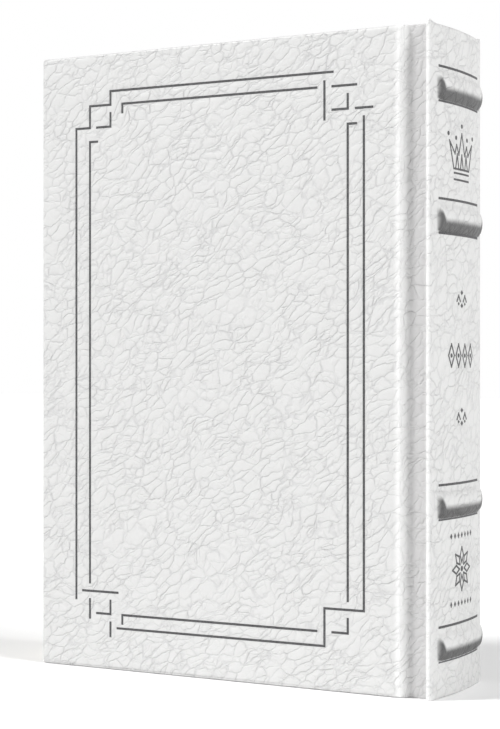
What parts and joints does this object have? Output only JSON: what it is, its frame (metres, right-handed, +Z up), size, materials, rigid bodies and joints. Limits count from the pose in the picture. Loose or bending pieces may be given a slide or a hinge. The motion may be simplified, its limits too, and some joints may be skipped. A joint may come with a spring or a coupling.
{
  "type": "prayer book",
  "caption": "Small hardbound prayer book in white grained leather, with raised spine bands, stamped rule frames and hinged covers over sewn pages.",
  "frame": {"origin": "middle of the bottom of the closed book, which stands on its tail edge", "axes": "+Z up to the head, +X to the spine, front cover faces -Y"},
  "size_m": [0.1094, 0.0296, 0.1524],
  "materials": {
    "leather": "satin",
    "foil": "satin",
    "board": "matte",
    "endpaper": "matte",
    "pages": "matte",
    "gauze": "matte",
    "lining_paper": "matte",
    "thread": "matte",
    "endband": "satin",
    "band_core": "matte"
  },
  "bodies": {
    "spine": {"spine_leather": "leather", "spine_stamping": "foil", "spine_inlay": "board", "raised_band_1": "band_core", "raised_band_2": "band_core", "raised_band_3": "band_core", "raised_band_4": "band_core", "mull_lining": "gauze", "spine_paper": "lining_paper", "sewing_thread": "thread", "headband": "endband", "tailband": "endband"},
    "front_cover": {"front_board": "board", "front_cover_leather": "leather", "front_cover_stamping": "foil", "front_pastedown": "endpaper"},
    "back_cover": {"back_board": "board", "back_cover_leather": "leather", "back_cover_stamping": "foil", "back_pastedown": "endpaper"},
    "front_flyleaf": {"front_flyleaf": "endpaper"},
    "back_flyleaf": {"back_flyleaf": "endpaper"},
    "signature_01": {"signature_01": "pages"},
    "signature_02": {"signature_02": "pages"},
    "signature_03": {"signature_03": "pages"},
    "signature_04": {"signature_04": "pages"},
    "signature_05": {"signature_05": "pages"},
    "signature_06": {"signature_06": "pages"},
    "signature_07": {"signature_07": "pages"},
    "signature_08": {"signature_08": "pages"},
    "signature_09": {"signature_09": "pages"},
    "signature_10": {"signature_10": "pages"},
    "signature_11": {"signature_11": "pages"},
    "signature_12": {"signature_12": "pages"},
    "signature_13": {"signature_13": "pages"},
    "signature_14": {"signature_14": "pages"},
    "signature_15": {"signature_15": "pages"},
    "signature_16": {"signature_16": "pages"}
  },
  "joints": [
    {"name": "front_cover_hinge", "type": "hinge", "parent": "spine", "child": "front_cover", "pos_m": [0.0514, -0.015, 0.0762], "axis": [0, 0, 1], "range_deg": [0, 180]},
    {"name": "back_cover_hinge", "type": "hinge", "parent": "spine", "child": "back_cover", "pos_m": [0.0514, 0.015, 0.0762], "axis": [0, 0, -1], "range_deg": [0, 180]},
    {"name": "front_flyleaf_turn", "type": "hinge", "parent": "spine", "child": "front_flyleaf", "pos_m": [0.04913, -0.0109, 0.0762], "axis": [0, 0, 1], "range_deg": [0, 60]},
    {"name": "back_flyleaf_turn", "type": "hinge", "parent": "spine", "child": "back_flyleaf", "pos_m": [0.04913, 0.0109, 0.0762], "axis": [0, 0, -1], "range_deg": [0, 60]},
    {"name": "signature_01_turn", "type": "hinge", "parent": "spine", "child": "signature_01", "pos_m": [0.04924, -0.01003, 0.0762], "axis": [0, 0, 1], "range_deg": [0, 54]},
    {"name": "signature_02_turn", "type": "hinge", "parent": "spine", "child": "signature_02", "pos_m": [0.04943, -0.00869, 0.0762], "axis": [0, 0, 1], "range_deg": [0, 47.25]},
    {"name": "signature_03_turn", "type": "hinge", "parent": "spine", "child": "signature_03", "pos_m": [0.0496, -0.00736, 0.0762], "axis": [0, 0, 1], "range_deg": [0, 40.5]},
    {"name": "signature_04_turn", "type": "hinge", "parent": "spine", "child": "signature_04", "pos_m": [0.04974, -0.00602, 0.0762], "axis": [0, 0, 1], "range_deg": [0, 33.75]},
    {"name": "signature_05_turn", "type": "hinge", "parent": "spine", "child": "signature_05", "pos_m": [0.04985, -0.00468, 0.0762], "axis": [0, 0, 1], "range_deg": [0, 27]},
    {"name": "signature_06_turn", "type": "hinge", "parent": "spine", "child": "signature_06", "pos_m": [0.04994, -0.00334, 0.0762], "axis": [0, 0, 1], "range_deg": [0, 20.25]},
    {"name": "signature_07_turn", "type": "hinge", "parent": "spine", "child": "signature_07", "pos_m": [0.04999, -0.00201, 0.0762], "axis": [0, 0, 1], "range_deg": [0, 13.5]},
    {"name": "signature_08_turn", "type": "hinge", "parent": "spine", "child": "signature_08", "pos_m": [0.05002, -0.00067, 0.0762], "axis": [0, 0, 1], "range_deg": [0, 6.75]},
    {"name": "signature_09_turn", "type": "hinge", "parent": "spine", "child": "signature_09", "pos_m": [0.05002, 0.00067, 0.0762], "axis": [0, 0, -1], "range_deg": [0, 6.75]},
    {"name": "signature_10_turn", "type": "hinge", "parent": "spine", "child": "signature_10", "pos_m": [0.04999, 0.00201, 0.0762], "axis": [0, 0, -1], "range_deg": [0, 13.5]},
    {"name": "signature_11_turn", "type": "hinge", "parent": "spine", "child": "signature_11", "pos_m": [0.04994, 0.00334, 0.0762], "axis": [0, 0, -1], "range_deg": [0, 20.25]},
    {"name": "signature_12_turn", "type": "hinge", "parent": "spine", "child": "signature_12", "pos_m": [0.04985, 0.00468, 0.0762], "axis": [0, 0, -1], "range_deg": [0, 27]},
    {"name": "signature_13_turn", "type": "hinge", "parent": "spine", "child": "signature_13", "pos_m": [0.04974, 0.00602, 0.0762], "axis": [0, 0, -1], "range_deg": [0, 33.75]},
    {"name": "signature_14_turn", "type": "hinge", "parent": "spine", "child": "signature_14", "pos_m": [0.0496, 0.00736, 0.0762], "axis": [0, 0, -1], "range_deg": [0, 40.5]},
    {"name": "signature_15_turn", "type": "hinge", "parent": "spine", "child": "signature_15", "pos_m": [0.04943, 0.00869, 0.0762], "axis": [0, 0, -1], "range_deg": [0, 47.25]},
    {"name": "signature_16_turn", "type": "hinge", "parent": "spine", "child": "signature_16", "pos_m": [0.04924, 0.01003, 0.0762], "axis": [0, 0, -1], "range_deg": [0, 54]}
  ],
  "couplings": [
    {"joint": "front_flyleaf_turn", "follows": "front_cover_hinge", "ratio": 0.33333},
    {"joint": "back_flyleaf_turn", "follows": "back_cover_hinge", "ratio": 0.33333},
    {"joint": "signature_01_turn", "follows": "front_cover_hinge", "ratio": 0.3},
    {"joint": "signature_02_turn", "follows": "front_cover_hinge", "ratio": 0.2625},
    {"joint": "signature_03_turn", "follows": "front_cover_hinge", "ratio": 0.225},
    {"joint": "signature_04_turn", "follows": "front_cover_hinge", "ratio": 0.1875},
    {"joint": "signature_05_turn", "follows": "front_cover_hinge", "ratio": 0.15},
    {"joint": "signature_06_turn", "follows": "front_cover_hinge", "ratio": 0.1125},
    {"joint": "signature_07_turn", "follows": "front_cover_hinge", "ratio": 0.075},
    {"joint": "signature_08_turn", "follows": "front_cover_hinge", "ratio": 0.0375},
    {"joint": "signature_09_turn", "follows": "back_cover_hinge", "ratio": 0.0375},
    {"joint": "signature_10_turn", "follows": "back_cover_hinge", "ratio": 0.075},
    {"joint": "signature_11_turn", "follows": "back_cover_hinge", "ratio": 0.1125},
    {"joint": "signature_12_turn", "follows": "back_cover_hinge", "ratio": 0.15},
    {"joint": "signature_13_turn", "follows": "back_cover_hinge", "ratio": 0.1875},
    {"joint": "signature_14_turn", "follows": "back_cover_hinge", "ratio": 0.225},
    {"joint": "signature_15_turn", "follows": "back_cover_hinge", "ratio": 0.2625},
    {"joint": "signature_16_turn", "follows": "back_cover_hinge", "ratio": 0.3}
  ]
}
